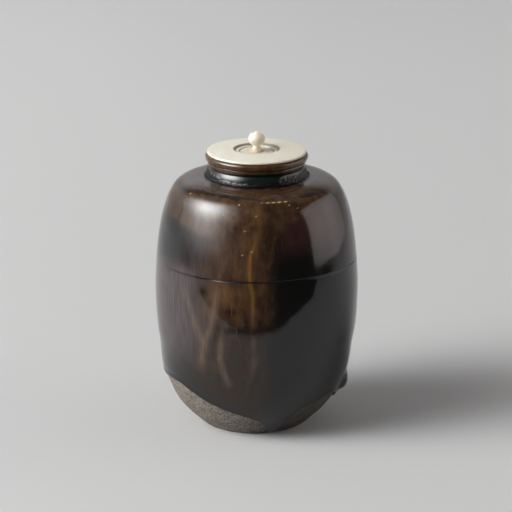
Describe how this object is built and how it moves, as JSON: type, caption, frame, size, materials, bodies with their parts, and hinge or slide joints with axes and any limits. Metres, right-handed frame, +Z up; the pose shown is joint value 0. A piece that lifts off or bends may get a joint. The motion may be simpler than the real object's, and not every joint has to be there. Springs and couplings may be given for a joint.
{
  "type": "tea caddy",
  "caption": "Small stoneware jar for powdered tea, with a dark glaze over a bare foot, a short neck, and a turned lid with a knob that lifts out of the mouth.",
  "frame": {"origin": "centre of the flat base, on the surface that the jar stands on", "axes": "+Z up along the jar's axis, -Y towards the viewer of the picture, +X to the viewer's right"},
  "size_m": [0.0634, 0.0634, 0.0932],
  "materials": {
    "bare_clay": "matte",
    "iron_glaze": "gloss",
    "ivory_plate": "satin",
    "ivory_knob": "gloss",
    "gold_leaf": "satin"
  },
  "bodies": {
    "jar": {"clay_body": "bare_clay", "glaze_coat": "iron_glaze"},
    "lid": {"lid_plate": "ivory_plate", "lid_knob": "ivory_knob", "gold_leaf_lining": "gold_leaf"}
  },
  "joints": [
    {"name": "lid_lift", "type": "slide", "parent": "jar", "child": "lid", "axis": [0, 0, 1], "range_m": [0, 0.06]}
  ]
}
